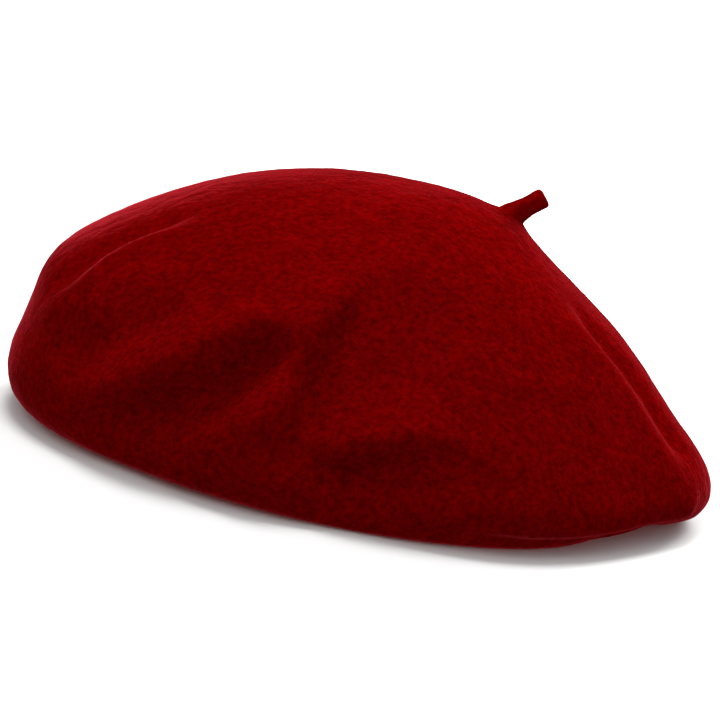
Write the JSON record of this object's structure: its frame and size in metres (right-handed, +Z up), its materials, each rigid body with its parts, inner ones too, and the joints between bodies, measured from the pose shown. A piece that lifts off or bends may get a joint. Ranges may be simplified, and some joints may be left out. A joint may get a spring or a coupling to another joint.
{
  "type": "beret",
  "caption": "Soft felt beret, slouched to one side, with a short felt stalk, leather sweatband and loose lining",
  "frame": {"origin": "centre of the head opening, in the plane of the felt's flat underside, which rests on the table", "axes": "+Z up through the crown, the wearer faces -Y, the crown flops towards -X, which is its longest reach"},
  "size_m": [0.2872, 0.2703, 0.1165],
  "materials": {
    "felt": "matte",
    "stalk_felt": "matte",
    "sweatband_leather": "satin",
    "lining_satin": "satin",
    "thread": "matte",
    "label_weave": "satin"
  },
  "bodies": {
    "beret": {"felt_body": "felt", "stalk_root": "stalk_felt", "stalk_root_stitches": "thread", "sweatband": "sweatband_leather", "sweatband_stitches": "thread", "sweatband_join_stitches": "thread", "lining_side": "lining_satin", "lining_crown": "lining_satin", "lining_seam_stitches": "thread", "lining_edge_stitches": "thread", "lining_label": "label_weave", "lining_label_stitches": "thread"},
    "stalk": {"stalk": "stalk_felt"},
    "care_label": {"care_label": "label_weave"}
  },
  "joints": [
    {"name": "stalk_bend", "type": "hinge", "parent": "beret", "child": "stalk", "pos_m": [0.01926, 0.02055, 0.10642], "axis": [0, 1, 0], "range_deg": [-60, 40], "stiffness_Nm_per_rad": 0.001},
    {"name": "care_label_flip", "type": "hinge", "parent": "beret", "child": "care_label", "pos_m": [0, 0.05608, 0.058], "axis": [1, 0, 0], "range_deg": [-105, 50]}
  ]
}
